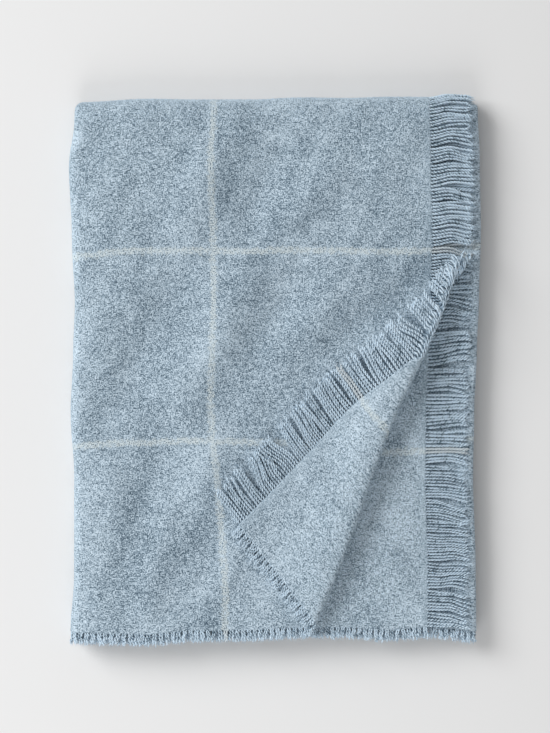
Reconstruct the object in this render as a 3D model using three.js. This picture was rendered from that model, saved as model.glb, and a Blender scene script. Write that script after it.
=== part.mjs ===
// A woven throw blanket with fringe on all four sides, folded into eight layers, one corner
// of the top layer turned back. Millimetres, +Z up, resting on z = 0.
import * as THREE from 'three';

// Driving dimensions. The length runs between the two long fringes.
const CLOTH = { length: 1778, width: 1270, thickness: 3 };
const PITCH = 5.5;
const FOLDED = { left: -236.5, right: 236.5, front: -303, back: 322 };
const LONG_FRINGE = { reach: 54, strands: 30, aroundBack: 3, filled: 0.64, taper: 0.3, lean: 4.5, steps: 2 };
const SHORT_FRINGE = { reach: 14, pitch: 20, filled: 0.62, taper: 0.35, lean: 2.2, steps: 1 };
const STRIP = { gap: 0.5, width: 3.5 };
const STRAND_TIP_THINNING = 1;

// The turned-back corner. The fold crosses the front hem and the fringed end at these
// distances from the corner, and the flap lies with its corner at `corner`.
const FLAP = {
  alongFront: 152,
  alongEnd: 315.3,
  corner: [-41, -178.7],
  endEdgeAngle: 43.3,
  frontHemAngle: -52.5,
  outwardAngle: -21.5,
  restHeight: 4.7,
  settling: 22,
};
const FLAP_ROLL = [
  { along: 0, radius: 4.5 },
  { along: 350, radius: 11 },
  { along: 480, radius: 6 },
];

// The top layer's end is drawn to the right towards the front.
const SKEW = { amount: 22, reach: 300 };

// How far each side of the folded stack wanders from a straight line.
const SIDES = [
  { y: -303, left: -2.3, right: -0.6 },
  { y: -235, left: 1.8, right: -1.2 },
  { y: -120, left: 1.8, right: -4.3 },
  { y: -45, left: -2.3, right: -2.9 },
  { y: 20, left: 0.6, right: 0 },
  { y: 85, left: 2.6, right: 2.6 },
  { y: 160, left: -0.6, right: 4.7 },
  { y: 245, left: -4.1, right: 3.5 },
  { y: 301, left: 2.3, right: 1.2 },
];
const ENDS = [
  { x: -227, front: -2.9, back: -4.2 },
  { x: -150, front: -4.7, back: -0.6 },
  { x: -90, front: 0, back: -1.2 },
  { x: -30, front: 0.6, back: -1.2 },
  { x: 30, front: 3.5, back: 1.2 },
  { x: 85, front: 3.5, back: 0.6 },
  { x: 130, front: 0, back: 1.8 },
  { x: 182, front: 3.5, back: 1.2 },
  { x: 232, front: -2.3, back: 4.1 },
];

// Soft ridges and troughs pressed through the stack: centre, heading, half sizes and height.
const CREASES = [
  { x: -132, y: -38, heading: 62, length: 95, width: 22, height: 2.6 },
  { x: -175, y: 20, heading: 66, length: 90, width: 20, height: -1.9 },
  { x: -45, y: 62, heading: 60, length: 85, width: 20, height: -2.0 },
  { x: 20, y: 120, heading: 40, length: 70, width: 24, height: -1.8 },
  { x: 35, y: 205, heading: 55, length: 60, width: 26, height: 2.2 },
  { x: -140, y: 190, heading: 48, length: 80, width: 26, height: 1.8 },
  { x: -120, y: -215, heading: 75, length: 70, width: 22, height: 2.0 },
];
const FLAT_BELOW = 6;

const CORNER_TURN = 24;
const TOLERANCE = { inside: 0.9, rim: 0.15 };
const SHORTEST_EDGE = 5;
const HALF = CLOTH.thickness / 2;
const MIDDLE = 3.5 * PITCH + HALF;
const TOP_LAYER = MIDDLE + 3.5 * PITCH;
const LEFT_AXIS = FOLDED.left + 1.5 * PITCH + HALF;
const RIGHT_AXIS = FOLDED.right - 0.5 * PITCH - HALF;
const BACK_AXIS = FOLDED.back - 3.5 * PITCH - HALF;
const INNER_RUN = RIGHT_AXIS - LEFT_AXIS;
const OUTER_RUN = (CLOTH.length - 2 * INNER_RUN - 2.5 * PITCH * Math.PI) / 2;
const HALF_DEPTH = BACK_AXIS - FOLDED.front;
const BACK_TURN = CLOTH.width - 2 * HALF_DEPTH;
const END_X = LEFT_AXIS + OUTER_RUN;

const radians = THREE.MathUtils.degToRad;
const smooth = THREE.MathUtils.smoothstep;
const heading = (degrees) => [Math.cos(radians(degrees)), Math.sin(radians(degrees))];

// The lengthwise folding seen from the front: flat runs and half turns, from the top end on.
function layRuns() {
  const flat = (length, x, height, direction) => ({ length, x, height, direction });
  const turn = (radius, x, height, start, sweep) => ({ length: Math.PI * radius, radius, x, height, start, sweep });
  const runs = [
    flat(OUTER_RUN, END_X, 1.5 * PITCH, -1),
    turn(1.5 * PITCH, LEFT_AXIS, 0, 90, 180),
    flat(INNER_RUN, LEFT_AXIS, -1.5 * PITCH, 1),
    turn(0.5 * PITCH, RIGHT_AXIS, -PITCH, -90, 180),
    flat(INNER_RUN, RIGHT_AXIS, -0.5 * PITCH, -1),
    turn(0.5 * PITCH, LEFT_AXIS, 0, 270, -180),
    flat(OUTER_RUN, LEFT_AXIS, 0.5 * PITCH, 1),
  ];
  let begin = 0;
  for (const run of runs) {
    run.begin = begin;
    begin += run.length;
  }
  return runs;
}
const RUNS = layRuns();
const turnParts = (run) => (run.radius > PITCH ? 6 : 4);

// Across position and height of a point that lies `a` along the cloth from its first end.
function alongRuns(a) {
  const run = RUNS.findLast((each) => a >= each.begin) ?? RUNS[0];
  const travelled = a - run.begin;
  if (run.radius === undefined) {
    return [run.x + run.direction * travelled, run.height];
  }
  const [across, up] = heading(run.start + (run.sweep * travelled) / run.length);
  return [run.x + run.radius * across, run.height + run.radius * up];
}

// The widthwise folding: the four layers turn together over the back edge.
function overBack(x, height, b) {
  const radius = 2 * PITCH + height;
  if (b <= HALF_DEPTH) {
    return [x, FOLDED.front + b, MIDDLE + radius];
  }
  if (b >= HALF_DEPTH + BACK_TURN) {
    return [x, FOLDED.front + CLOTH.width - b, MIDDLE - radius];
  }
  const angle = (Math.PI * (b - HALF_DEPTH)) / BACK_TURN;
  return [x, BACK_AXIS + radius * Math.sin(angle), MIDDLE + radius * Math.cos(angle)];
}

function layFlat(a, b) {
  const drawn = SKEW.amount * (1 - smooth(b, 0, SKEW.reach));
  const share = a < OUTER_RUN ? 1 - Math.max(0, a / OUTER_RUN) ** 3 : 0;
  const [x, height] = alongRuns(a - drawn * share);
  return overBack(x, height, b);
}

function layOnFlap(a, b) {
  const end = heading(FLAP.endEdgeAngle);
  const hem = heading(FLAP.frontHemAngle);
  return [0, 1].map((axis) => FLAP.corner[axis] + a * hem[axis] + b * end[axis]);
}

// Linear value at `key` in a table sorted by the column `column`.
function tableValue(table, column, key, value) {
  const last = table.length - 1;
  const next = Math.min(Math.max(table.findIndex((row) => row[column] > key), 0) || last, last);
  const [low, high] = [table[next - 1] ?? table[0], table[next]];
  if (key <= table[0][column]) {
    return table[0][value];
  }
  const share = Math.min((key - low[column]) / (high[column] - low[column]), 1);
  return low[value] + share * (high[value] - low[value]);
}

// Signed distance past the fold of the corner, and distance along that fold, on the flat cloth.
function acrossCornerFold(a, b) {
  const span = Math.hypot(FLAP.alongFront, FLAP.alongEnd);
  const direction = [-FLAP.alongFront / span, FLAP.alongEnd / span];
  const along = (a - FLAP.alongFront) * direction[0] + b * direction[1];
  const past = -(a - FLAP.alongFront) * direction[1] + b * direction[0];
  return { along, past, direction };
}

// The cloth's mid surface before the stack's unevenness: flat layers, folds and the flap.
function foldedPoint(a, b) {
  const { along, past, direction } = acrossCornerFold(a, b);
  const radius = tableValue(FLAP_ROLL, 'along', along, 'radius');
  const halfBand = (Math.PI * radius) / 2;
  if (a > OUTER_RUN || b > HALF_DEPTH || past < -halfBand) {
    return layFlat(a, b);
  }
  if (past > halfBand) {
    const settled = (past - halfBand) / FLAP.settling;
    const extra = (2 * radius - FLAP.restHeight) * (1 + settled) * Math.exp(-settled);
    return [...layOnFlap(a, b), TOP_LAYER + FLAP.restHeight + extra];
  }
  const before = past + halfBand;
  const after = past - halfBand;
  const from = layFlat(a + before * direction[1], b - before * direction[0]);
  const to = layOnFlap(a + after * direction[1], b - after * direction[0]);
  const share = before / (2 * halfBand);
  const outward = heading(FLAP.outwardAngle);
  const bulge = radius * Math.sin(Math.PI * share);
  const [x, y] = [0, 1].map((axis) => from[axis] + share * (to[axis] - from[axis]) + bulge * outward[axis]);
  return [x, y, TOP_LAYER + radius * (1 - Math.cos(Math.PI * share))];
}

function creaseHeight(x, y) {
  let height = 0;
  for (const crease of CREASES) {
    const [c, s] = heading(crease.heading);
    const along = ((x - crease.x) * c + (y - crease.y) * s) / crease.length;
    const across = ((y - crease.y) * c - (x - crease.x) * s) / crease.width;
    height += crease.height * Math.exp(-along * along - across * across);
  }
  return height;
}

// The mid surface with the wandering sides and the creases of the real stack.
function middlePoint(a, b) {
  const [x, y, z] = foldedPoint(a, b);
  const toRight = (x - LEFT_AXIS) / (RIGHT_AXIS - LEFT_AXIS);
  const toBack = (y - FOLDED.front) / (BACK_AXIS - FOLDED.front);
  const sideways = THREE.MathUtils.lerp(tableValue(SIDES, 'y', y, 'left'), tableValue(SIDES, 'y', y, 'right'), toRight);
  const lengthways = THREE.MathUtils.lerp(tableValue(ENDS, 'x', x, 'front'), tableValue(ENDS, 'x', x, 'back'), toBack);
  const raised = Math.max(0, (z - FLAT_BELOW) / (TOP_LAYER - FLAT_BELOW));
  return new THREE.Vector3(x + sideways, y + lengthways, z + raised * creaseHeight(x, y));
}

// A point `offset` off the mid surface, positive on the face of the cloth.
function clothPoint(a, b, offset) {
  const step = 0.1;
  const acrossWidth = middlePoint(a, b + step).sub(middlePoint(a, b - step));
  const alongLength = middlePoint(a + step, b).sub(middlePoint(a - step, b));
  return middlePoint(a, b).addScaledVector(acrossWidth.cross(alongLength).normalize(), offset);
}

// Collects triangles and returns them as a geometry whose faces point out.
function solid(points, faces) {
  const geometry = new THREE.BufferGeometry();
  geometry.setAttribute('position', new THREE.Float32BufferAttribute(points.flatMap((point) => point.toArray()), 3));
  let volume = 0;
  for (const [i, j, k] of faces) {
    volume += points[i].dot(points[j].clone().cross(points[k]));
  }
  geometry.setIndex(faces.flatMap(([i, j, k]) => (volume > 0 ? [i, j, k] : [i, k, j])));
  geometry.computeVertexNormals();
  return geometry;
}

// Lines of the flat cloth where a fold begins or ends or the outline changes direction.
function linesAlongLength() {
  const lines = [0];
  for (const run of RUNS) {
    if (run.radius !== undefined) {
      const parts = turnParts(run);
      for (let part = 0; part <= parts; part += 1) {
        lines.push(run.begin + (run.length * part) / parts);
      }
    } else {
      for (const { x } of ENDS) {
        lines.push(run.begin + (x - run.x) * run.direction);
      }
    }
  }
  return tidyLines(lines, CLOTH.length);
}

function linesAcrossWidth() {
  const lines = [0];
  for (const { y } of SIDES) {
    lines.push(y - FOLDED.front, CLOTH.width - (y - FOLDED.front));
  }
  for (let part = 0; part <= 6; part += 1) {
    lines.push(HALF_DEPTH + (BACK_TURN * part) / 6);
  }
  return tidyLines(lines, CLOTH.width);
}

function tidyLines(lines, end) {
  const closest = 2;
  const kept = lines.filter((line) => line >= 0 && line < end - closest).sort((p, q) => p - q);
  return [...kept.filter((line, i) => i === 0 || line - kept[i - 1] > 0.7), end];
}

const onRim = ([a, b]) => a === 0 || a === CLOTH.length || b === 0 || b === CLOTH.width;

// Splits the edges of flat triangles whose middle the folded cloth leaves by more than the
// tolerance. Each touched triangle is also split on its longest edge, so no gap opens.
function refineOnce(flat, triangles) {
  const length = (i, j) => Math.hypot(flat[i][0] - flat[j][0], flat[i][1] - flat[j][1]);
  const key = (i, j) => (i < j ? `${i},${j}` : `${j},${i}`);
  const marked = new Map();
  const wants = (i, j) => {
    const middle = [(flat[i][0] + flat[j][0]) / 2, (flat[i][1] + flat[j][1]) / 2];
    const chord = middlePoint(...flat[i]).add(middlePoint(...flat[j])).multiplyScalar(0.5);
    const allowed = onRim(middle) ? TOLERANCE.rim : TOLERANCE.inside;
    return length(i, j) > SHORTEST_EDGE && chord.distanceTo(middlePoint(...middle)) > allowed;
  };
  const longestFirst = ([i, j, k]) => {
    const turns = [[i, j, k], [j, k, i], [k, i, j]];
    return turns.reduce((best, turn) => (length(turn[0], turn[1]) > length(best[0], best[1]) + 1e-9 ? turn : best));
  };
  const ordered = triangles.map(longestFirst);
  for (const [i, j, k] of ordered) {
    for (const [p, q] of [[i, j], [j, k], [k, i]]) {
      if (!marked.has(key(p, q)) && wants(p, q)) {
        marked.set(key(p, q), null);
      }
    }
  }
  let spreading = true;
  while (spreading) {
    spreading = false;
    for (const [i, j, k] of ordered) {
      const touched = marked.has(key(j, k)) || marked.has(key(k, i));
      if (touched && !marked.has(key(i, j))) {
        marked.set(key(i, j), null);
        spreading = true;
      }
    }
  }
  const middleOf = (i, j) => {
    if (marked.get(key(i, j)) === null) {
      marked.set(key(i, j), flat.length);
      flat.push([(flat[i][0] + flat[j][0]) / 2, (flat[i][1] + flat[j][1]) / 2]);
    }
    return marked.get(key(i, j));
  };
  const halved = (apex, i, j) => {
    if (!marked.has(key(i, j))) {
      return [[apex, i, j]];
    }
    const middle = middleOf(i, j);
    return [[apex, i, middle], [apex, middle, j]];
  };
  return ordered.flatMap(([i, j, k]) => {
    if (!marked.has(key(i, j))) {
      return [[i, j, k]];
    }
    const middle = middleOf(i, j);
    return [...halved(middle, j, k), ...halved(middle, k, i)];
  });
}

// The whole cloth as one closed sheet of even thickness.
function clothGeometry() {
  const [along, across] = [linesAlongLength(), linesAcrossWidth()];
  const flat = across.flatMap((b) => along.map((a) => [a, b]));
  let triangles = [];
  for (let row = 0; row + 1 < across.length; row += 1) {
    for (let column = 0; column + 1 < along.length; column += 1) {
      const corner = row * along.length + column;
      const opposite = corner + along.length + 1;
      triangles.push([corner, corner + 1, opposite], [corner, opposite, opposite - 1]);
    }
  }
  for (let pass = 0; pass < 7; pass += 1) {
    triangles = refineOnce(flat, triangles);
  }
  const count = flat.length;
  const points = [HALF, -HALF].flatMap((offset) => flat.map(([a, b]) => clothPoint(a, b, offset)));
  const faces = triangles.flatMap(([i, j, k]) => [[i, k, j], [i + count, j + count, k + count]]);
  const directed = new Set(triangles.flatMap(([i, j, k]) => [`${i},${j}`, `${j},${k}`, `${k},${i}`]));
  for (const edge of directed) {
    const [i, j] = edge.split(',').map(Number);
    if (!directed.has(`${j},${i}`)) {
      faces.push([j + count, i + count, i], [j + count, i, j]);
    }
  }
  return solid(points, faces);
}

// A fringe: a narrow strip beside the cloth's edge with strands fused to its outer side.
// place(s, out, offset) gives the point at `s` along the edge and `out` beyond it.
function fringeGeometry(place, cells, fringe) {
  const points = [];
  const faces = [];
  const add = (s, out, offset) => points.push(place(s, out, offset)) - 1;
  const quad = (i, j, k, l) => faces.push([i, j, k], [i, k, l]);
  const station = (s) => {
    const far = STRIP.gap + STRIP.width;
    return [add(s, STRIP.gap, HALF), add(s, far, HALF), add(s, far, -HALF), add(s, STRIP.gap, -HALF)];
  };
  const tube = (from, to) => {
    for (let side = 0; side < 4; side += 1) {
      const next = (side + 1) % 4;
      quad(from[side], to[side], to[next], from[next]);
    }
  };
  let left = station(cells[0].from);
  quad(...left);
  cells.forEach((cell, index) => {
    const right = station(cell.to);
    quad(left[0], right[0], right[1], left[1]);
    quad(left[2], right[2], right[3], left[3]);
    quad(left[3], right[3], right[0], left[0]);
    if (cell.strand) {
      addStrand(cell, index, [left[1], right[1], right[2], left[2]]);
    } else {
      quad(left[1], right[1], right[2], left[2]);
    }
    left = right;
  });
  quad(left[3], left[2], left[1], left[0]);

  // Each strand narrows, thins and leans a little its own way, and has its own length.
  function addStrand(cell, index, root) {
    const start = STRIP.gap + STRIP.width;
    const reach = fringe.reach * (1 - 0.045 * (1 + Math.sin(index * 2.4)));
    const lean = fringe.lean * Math.sin(index * 1.7) * 0.6 + fringe.lean * 0.4 * Math.sin(index * 0.37);
    const middle = (share) => (cell.from + cell.to) / 2 + lean * share * share;
    const outAt = (share) => start + (reach - start) * share;
    const steps = strandSteps((share) => place(middle(share), outAt(share), 0));
    let previous = root;
    for (let step = 1; step <= steps; step += 1) {
      const share = step / steps;
      const half = ((cell.to - cell.from) / 2) * (1 - fringe.taper * share);
      const under = -HALF + STRAND_TIP_THINNING * share;
      const [s, out] = [middle(share), outAt(share)];
      const ring = [
        add(s - half, out, HALF),
        add(s + half, out, HALF),
        add(s + half, out, under),
        add(s - half, out, under),
      ];
      tube(ring, previous);
      previous = ring;
    }
    quad(...previous);
  }

  // More steps where a strand goes round the turned-back corner.
  function strandSteps(line) {
    let steps = fringe.steps;
    const leaves = () => {
      for (let step = 0; step < steps; step += 1) {
        const [p, q, middle] = [step, step + 1, step + 0.5].map((each) => line(each / steps));
        if (p.add(q).multiplyScalar(0.5).distanceTo(middle) > 0.9) {
          return true;
        }
      }
      return false;
    };
    while (steps < 10 && leaves()) {
      steps += 1;
    }
    return steps;
  }
  return solid(points, faces);
}

// Alternating strands and bare stretches between two places along an edge.
function strandCells(from, length, count, filled) {
  const pitch = length / count;
  const bare = (pitch * (1 - filled)) / 2;
  return Array.from({ length: count }, (_, i) => from + i * pitch).flatMap((start) => [
    { from: start, to: start + bare, strand: false },
    { from: start + bare, to: start + pitch - bare, strand: true },
    { from: start + pitch - bare, to: start + pitch, strand: false },
  ]);
}

function joinBareCells(cells) {
  const joined = [];
  for (const cell of cells) {
    const last = joined.at(-1);
    if (last && !last.strand && !cell.strand && !cell.turn && !last.turn) {
      last.to = cell.to;
    } else {
      joined.push({ ...cell });
    }
  }
  return joined;
}

function longFringeCells() {
  const { strands, aroundBack, filled } = LONG_FRINGE;
  return joinBareCells([
    ...strandCells(0, HALF_DEPTH, strands, filled),
    ...strandCells(HALF_DEPTH, BACK_TURN, aroundBack, filled),
    ...strandCells(HALF_DEPTH + BACK_TURN, HALF_DEPTH, strands, filled),
  ]);
}

// Short bare stretches, close enough together to follow a turn.
function turnCells(from, length, parts) {
  return Array.from({ length: parts }, (_, part) => ({
    from: from + (part * length) / parts,
    to: from + ((part + 1) * length) / parts,
    strand: false,
    turn: true,
  }));
}

// No strand starts within a fold. The first run also passes the turned-back corner.
function shortFringeCells() {
  const { pitch, filled } = SHORT_FRINGE;
  const row = (from, length) => strandCells(from, length, Math.round(length / pitch), filled);
  const cornerFrom = FLAP.alongFront - CORNER_TURN / 2;
  const cornerTo = FLAP.alongFront + CORNER_TURN / 2;
  const cells = RUNS.flatMap((run, index) => {
    if (run.radius !== undefined) {
      return turnCells(run.begin, run.length, turnParts(run));
    }
    if (index > 0) {
      return row(run.begin, run.length);
    }
    return [...row(0, cornerFrom), ...turnCells(cornerFrom, CORNER_TURN, 6), ...row(cornerTo, run.length - cornerTo)];
  });
  return joinBareCells(cells);
}

function material(colour, roughness) {
  return new THREE.MeshStandardMaterial({ color: colour, roughness, metalness: 0, side: THREE.DoubleSide });
}

const clothMaterial = material(0x98abb8, 0.95);
const yarnMaterial = material(0x8fa3b2, 0.9);

const group = new THREE.Group();
group.name = 'folded_fringed_blanket';

function addPiece(name, geometry, finish) {
  const mesh = new THREE.Mesh(geometry, finish);
  mesh.name = name;
  group.add(mesh);
}

addPiece('blanket_cloth', clothGeometry(), clothMaterial);
const longCells = longFringeCells();
const shortCells = shortFringeCells();
const fromFirstEnd = (s, out, offset) => clothPoint(-out, s, offset);
const fromSecondEnd = (s, out, offset) => clothPoint(CLOTH.length + out, s, offset);
const fromUpperHem = (s, out, offset) => clothPoint(s, -out, offset);
const fromLowerHem = (s, out, offset) => clothPoint(s, CLOTH.width + out, offset);
addPiece('long_fringe_outer', fringeGeometry(fromFirstEnd, longCells, LONG_FRINGE), yarnMaterial);
addPiece('long_fringe_inner', fringeGeometry(fromSecondEnd, longCells, LONG_FRINGE), yarnMaterial);
addPiece('short_fringe_upper', fringeGeometry(fromUpperHem, shortCells, SHORT_FRINGE), yarnMaterial);
addPiece('short_fringe_lower', fringeGeometry(fromLowerHem, shortCells, SHORT_FRINGE), yarnMaterial);

// The origin is the middle of the stack's footprint, on the surface that it rests on.
const box = new THREE.Box3().setFromObject(group);
group.position.set(-(box.min.x + box.max.x) / 2, -(box.min.y + box.max.y) / 2, -box.min.z);
group.updateMatrixWorld(true);

export default group;
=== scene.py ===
import math

import bmesh
import bpy
import numpy as np
from mathutils import Matrix


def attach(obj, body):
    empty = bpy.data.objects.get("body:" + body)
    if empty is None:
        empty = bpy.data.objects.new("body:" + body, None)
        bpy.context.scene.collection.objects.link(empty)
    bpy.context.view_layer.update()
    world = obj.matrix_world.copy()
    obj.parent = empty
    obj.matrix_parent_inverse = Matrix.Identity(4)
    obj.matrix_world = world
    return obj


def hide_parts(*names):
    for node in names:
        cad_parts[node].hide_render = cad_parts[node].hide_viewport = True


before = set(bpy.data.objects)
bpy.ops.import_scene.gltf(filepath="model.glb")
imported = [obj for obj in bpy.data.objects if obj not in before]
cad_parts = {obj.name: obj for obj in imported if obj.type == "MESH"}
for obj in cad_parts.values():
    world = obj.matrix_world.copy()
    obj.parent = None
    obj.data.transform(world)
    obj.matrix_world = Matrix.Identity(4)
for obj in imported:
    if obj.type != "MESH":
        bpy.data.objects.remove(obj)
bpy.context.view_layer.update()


# The cloth
# One brushed wool throw, 1270 by 1778 mm, woven in pale blue heather with a cream windowpane check.
# It has no hem. It is folded in four along its length and in two over the back edge, and the front
# right corner of the top layer is turned back.
MM = 0.001
CLOTH_LENGTH = 1778.0
CLOTH_WIDTH = 1270.0
CLOTH_THICKNESS = 3.0
LAYER_PITCH = 5.5
STACK_LEFT, STACK_RIGHT, STACK_FRONT, STACK_BACK = -236.5, 236.5, -303.0, 322.0
FOOTPRINT_MIDDLE = (0.25, 2.34, 0.0)

HALF_THICKNESS = CLOTH_THICKNESS / 2
STACK_MIDDLE = 3.5 * LAYER_PITCH + HALF_THICKNESS
TOP_LAYER = STACK_MIDDLE + 3.5 * LAYER_PITCH
LEFT_AXIS = STACK_LEFT + 1.5 * LAYER_PITCH + HALF_THICKNESS
RIGHT_AXIS = STACK_RIGHT - 0.5 * LAYER_PITCH - HALF_THICKNESS
BACK_AXIS = STACK_BACK - 3.5 * LAYER_PITCH - HALF_THICKNESS
INNER_RUN = RIGHT_AXIS - LEFT_AXIS
OUTER_RUN = (CLOTH_LENGTH - 2 * INNER_RUN - 2.5 * LAYER_PITCH * math.pi) / 2
HALF_DEPTH = BACK_AXIS - STACK_FRONT
BACK_TURN = CLOTH_WIDTH - 2 * HALF_DEPTH

# The corner fold crosses the front edge and the fringed end at these distances from the corner,
# and the turned-back corner lies at FLAP_CORNER with its two edges on these headings. Its fringed
# edge bows out round one place.
FOLD_ON_FRONT = 152.0
FOLD_ON_END = 315.3
FLAP_CORNER = (-41.0, -178.7)
FLAP_END_HEADING = 43.3
FLAP_FRONT_HEADING = -52.5
FLAP_OUTWARD_HEADING = -21.5
FLAP_REST_HEIGHT = 4.7
FLAP_SETTLING = 30.0
FLAP_BOW = {"b": 195.0, "spread": 70.0, "reach": 110.0, "amount": 7.0}

# The roll of the corner fold, from the front edge to the fringed end. Its last part is drawn in to
# the left. Its section is fuller than a circle above, is tucked in below, and is widest above the
# middle of its height.
FLAP_ROLL = [
    {"along": 0, "radius": 4.5},
    {"along": 350, "radius": 11},
    {"along": 480, "radius": 6},
]
ROLL_DRAWN_IN = {"from": 335.0, "over": 130.0, "amount": 11.0}
ROLL_SQUARENESS = 0.5
ROLL_UNDERCUT = 1.5
ROLL_OVERHANG = 1.9

# How far the cloth's top end is drawn to the right at the front, and how far back that reaches.
SKEW_AMOUNT = 22.0
SKEW_REACH = 300.0

# Where the weave, with its check, is drawn forward in the cloth: at the left fold, on the
# turned-back corner, beyond it along the fringed end, and in the layer under it.
DRAWS = [
    {"a": 446, "reach": 60, "b": 335, "spread": 190, "amount": 10},
    {"a": 0, "reach": 160, "b": 215, "spread": 110, "amount": 19},
    {"a": 0, "reach": 260, "b": 445, "spread": 70, "amount": 5},
    {"a": 1778, "reach": 300, "b": 210, "spread": 110, "amount": 17},
]
RIGHT_FOLD_BULGE = 2.5

# How far the sides and ends of the stack wander from straight lines.
SIDES = [
    {"y": -303, "left": -2.3, "right": -0.6},
    {"y": -235, "left": 1.8, "right": -1.2},
    {"y": -120, "left": 1.8, "right": -4.3},
    {"y": -45, "left": -2.3, "right": -2.9},
    {"y": 20, "left": 0.6, "right": 0.0},
    {"y": 85, "left": 2.6, "right": 2.6},
    {"y": 160, "left": -0.6, "right": 4.7},
    {"y": 245, "left": -4.1, "right": 3.5},
    {"y": 301, "left": 2.3, "right": 1.2},
]
ENDS = [
    {"x": -227, "front": -2.9, "back": -4.2},
    {"x": -150, "front": -4.7, "back": -0.6},
    {"x": -90, "front": 0.0, "back": -1.2},
    {"x": -30, "front": 0.6, "back": -1.2},
    {"x": 30, "front": 3.5, "back": 1.2},
    {"x": 85, "front": 3.5, "back": 0.6},
    {"x": 130, "front": 0.0, "back": 1.8},
    {"x": 182, "front": 3.5, "back": 1.8},
    {"x": 205, "front": 1.5, "back": 6.2},
    {"x": 232, "front": -2.3, "back": 4.6},
]

# Soft ridges and troughs pressed through the stack, and finer ones in the upper layers.
CREASES = [
    {"x": -80, "y": 225, "heading": 66, "length": 75, "width": 26, "height": 6.7},
    {"x": -13, "y": 215, "heading": 66, "length": 55, "width": 22, "height": -5.5},
    {"x": 50, "y": 212, "heading": 50, "length": 55, "width": 20, "height": 4.8},
    {"x": 137, "y": 255, "heading": 50, "length": 50, "width": 22, "height": 3.6},
    {"x": -205, "y": 268, "heading": 66, "length": 40, "width": 19, "height": -2.8},
    {"x": -150, "y": 28, "heading": 64, "length": 105, "width": 29, "height": -7.1},
    {"x": -66, "y": 42, "heading": 64, "length": 95, "width": 27, "height": 7.6},
    {"x": 0, "y": 62, "heading": 60, "length": 75, "width": 26, "height": -5.9},
    {"x": 57, "y": 75, "heading": 52, "length": 60, "width": 22, "height": 4.0},
    {"x": 120, "y": 70, "heading": 40, "length": 85, "width": 15, "height": -6.4},
    {"x": -148, "y": -140, "heading": 75, "length": 70, "width": 26, "height": -5.2},
    {"x": -78, "y": -125, "heading": 75, "length": 60, "width": 24, "height": 4.8},
    {"x": -138, "y": -222, "heading": 80, "length": 60, "width": 20, "height": 4.8},
    {"x": -52, "y": -225, "heading": 70, "length": 55, "width": 19, "height": 3.6},
    {"x": 150, "y": -190, "heading": 70, "length": 70, "width": 26, "height": 2.8},
]
FLAP_CREASES = [
    {"x": 96, "y": -140, "heading": 70, "length": 160, "width": 34, "height": 8.0},
    {"x": 18, "y": -150, "heading": 62, "length": 60, "width": 22, "height": -1.2},
]
FLAP_CREASE_FROM = 4.0

# Fine waves all over the cloth. Each one's pace drifts, so that no wave repeats evenly.
UNEVENNESS = [
    {"wave": 61, "heading": 20, "phase": 0.3, "height": 0.30},
    {"wave": 44, "heading": 74, "phase": 1.9, "height": 0.26},
    {"wave": 37, "heading": 128, "phase": 4.0, "height": 0.20},
    {"wave": 27, "heading": 47, "phase": 2.6, "height": 0.14},
    {"wave": 23, "heading": 160, "phase": 5.2, "height": 0.11},
]
WAVE_DRIFT = {"amount": 1.3, "pace": 0.31}

# The lowest layer lies flat, and the stack droops towards its left and back folds.
FLAT_BELOW = 6.0
LEFT_DROOP = 5.0
LEFT_DROOP_REACH = 48.0
BACK_DROOP = 3.0
BACK_DROOP_REACH = 34.0

# How far the paler tone spreads in from each fold, and how far the right fold bulges past its line.
# The paler tone is partly raised nap, partly painted sheen on the rounded edges and painted light on
# the right fold, which lies in shade.
FOLD_LIGHT_AND_NAP_REACH = {"left": 11.0, "back": 13.0, "right": 9.0, "past_right": 3.0}


def heading(degrees):
    return np.array([math.cos(math.radians(degrees)), math.sin(math.radians(degrees))])


def eased(share):
    share = np.clip(share, 0, 1)
    return share * share * (3 - 2 * share)


def between_rows(table, column, key, value):
    """Smooth value at each key between the rows of a table sorted by one column."""
    keys = np.array([row[column] for row in table], float)
    values = np.array([row[value] for row in table], float)
    row = np.clip(np.searchsorted(keys, key) - 1, 0, len(keys) - 2)
    share = eased((key - keys[row]) / (keys[row + 1] - keys[row]))
    return values[row] + share * (values[row + 1] - values[row])


def lengthwise_runs():
    """The folding in four, seen from the front: flat runs and half turns from the top end on."""
    def flat(length, x, height, direction):
        return {"length": length, "x": x, "height": height, "direction": direction}

    def turn(radius, x, height, start, sweep):
        return {"length": math.pi * radius, "radius": radius, "x": x, "height": height,
                "start": start, "sweep": sweep}

    runs = [
        flat(OUTER_RUN, LEFT_AXIS + OUTER_RUN, 1.5 * LAYER_PITCH, -1),
        turn(1.5 * LAYER_PITCH, LEFT_AXIS, 0, 90, 180),
        flat(INNER_RUN, LEFT_AXIS, -1.5 * LAYER_PITCH, 1),
        turn(0.5 * LAYER_PITCH, RIGHT_AXIS, -LAYER_PITCH, -90, 180) | {"bulge": RIGHT_FOLD_BULGE},
        flat(INNER_RUN, RIGHT_AXIS, -0.5 * LAYER_PITCH, -1),
        turn(0.5 * LAYER_PITCH, LEFT_AXIS, 0, 270, -180),
        flat(OUTER_RUN, LEFT_AXIS, 0.5 * LAYER_PITCH, 1),
    ]
    begin = 0.0
    for run in runs:
        run["begin"] = begin
        begin += run["length"]
    return runs


RUNS = lengthwise_runs()


def folded_in_four(a):
    """How far across and how high in its half of the stack each point along the cloth lies."""
    across = np.zeros_like(a)
    up = np.zeros_like(a)
    number = np.searchsorted([run["begin"] for run in RUNS[1:]], a, side="right")
    for index, run in enumerate(RUNS):
        here = number == index
        travelled = a[here] - run["begin"]
        if "radius" in run:
            angle = np.radians(run["start"] + run["sweep"] * travelled / run["length"])
            across[here] = run["x"] + (run["radius"] + run.get("bulge", 0)) * np.cos(angle)
            up[here] = run["height"] + run["radius"] * np.sin(angle)
        else:
            across[here] = run["x"] + run["direction"] * travelled
            up[here] = run["height"]
    return across, up


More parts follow.
